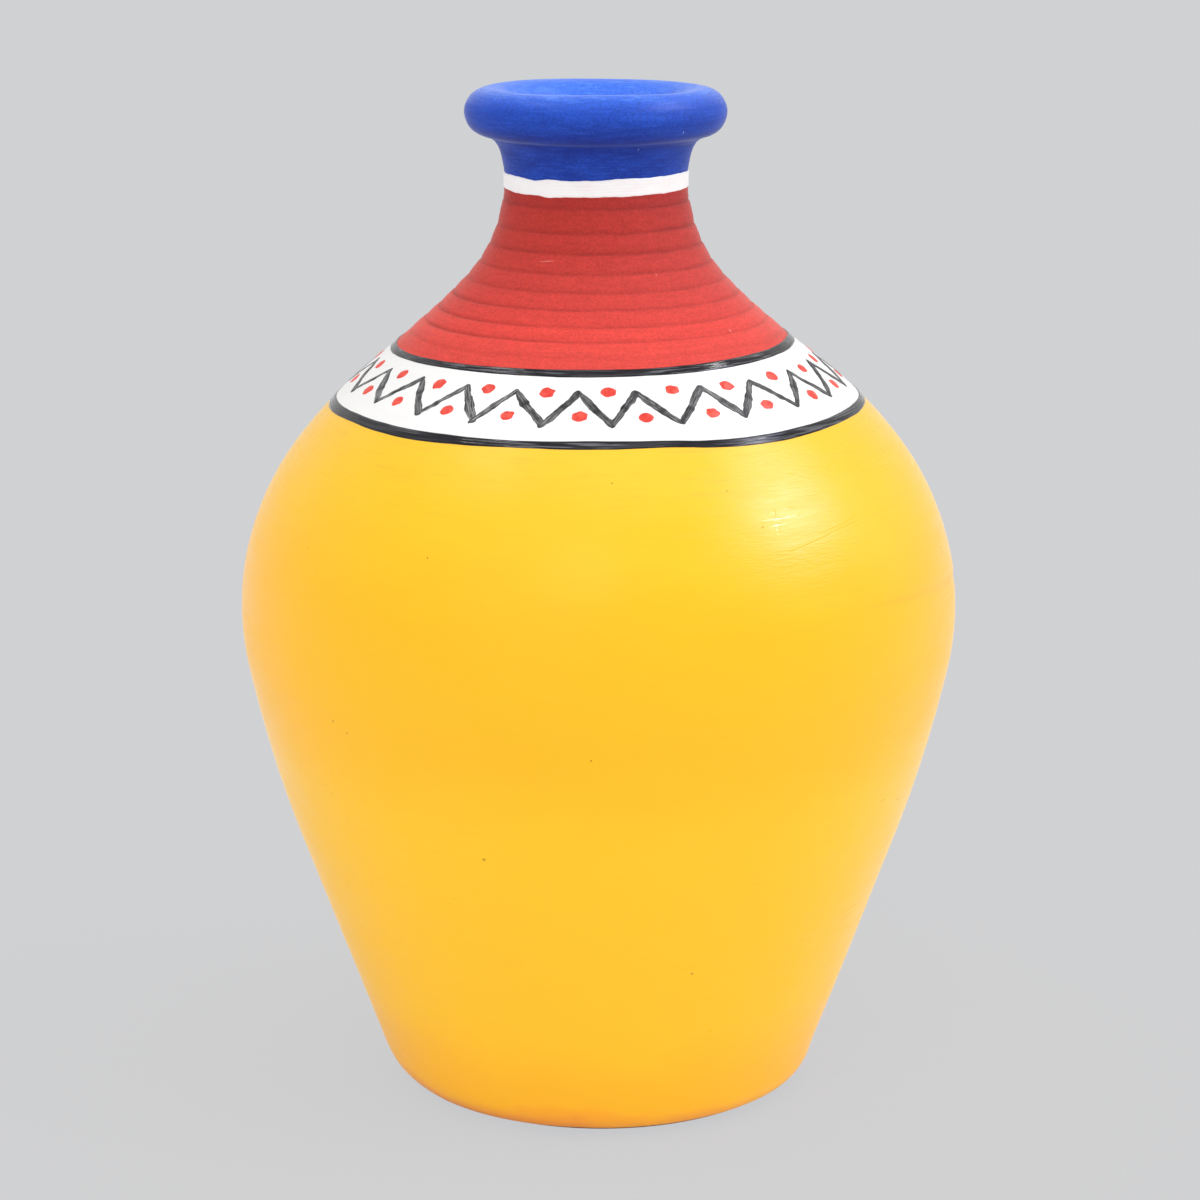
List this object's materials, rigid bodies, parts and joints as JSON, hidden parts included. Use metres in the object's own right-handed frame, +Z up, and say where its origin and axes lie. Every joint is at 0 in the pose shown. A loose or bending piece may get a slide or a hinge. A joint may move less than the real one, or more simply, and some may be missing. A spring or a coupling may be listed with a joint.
{
  "type": "clay pot",
  "caption": "Wheel-thrown clay pot with a round belly, ringed neck and rolled lip, painted in bands with a zigzag and dots on the shoulder.",
  "frame": {"origin": "centre of the flat underside", "axes": "+Z up along the axis that the pot was turned about, front faces -Y, +X to the right seen from the front"},
  "size_m": [0.144, 0.1441, 0.2028],
  "materials": {
    "clay": "matt fired earthenware",
    "yellow_paint": "satin brushed paint",
    "white_paint": "satin brushed paint",
    "red_slip": "matt, slightly gritty slip",
    "blue_paint": "satin brushed paint",
    "black_paint": "glossy brush line",
    "red_dot_paint": "satin dabs"
  },
  "bodies": {
    "root": {"clay_vessel": "clay", "yellow_body_coat": "yellow_paint", "white_shoulder_band": "white_paint", "red_neck_coat": "red_slip", "blue_lip_coat": "blue_paint", "lower_black_line": "black_paint", "upper_black_line": "black_paint", "white_neck_ring": "white_paint", "zigzag_line": "black_paint", "upper_red_dots": "red_dot_paint", "lower_red_dots": "red_dot_paint"}
  },
  "joints": []
}
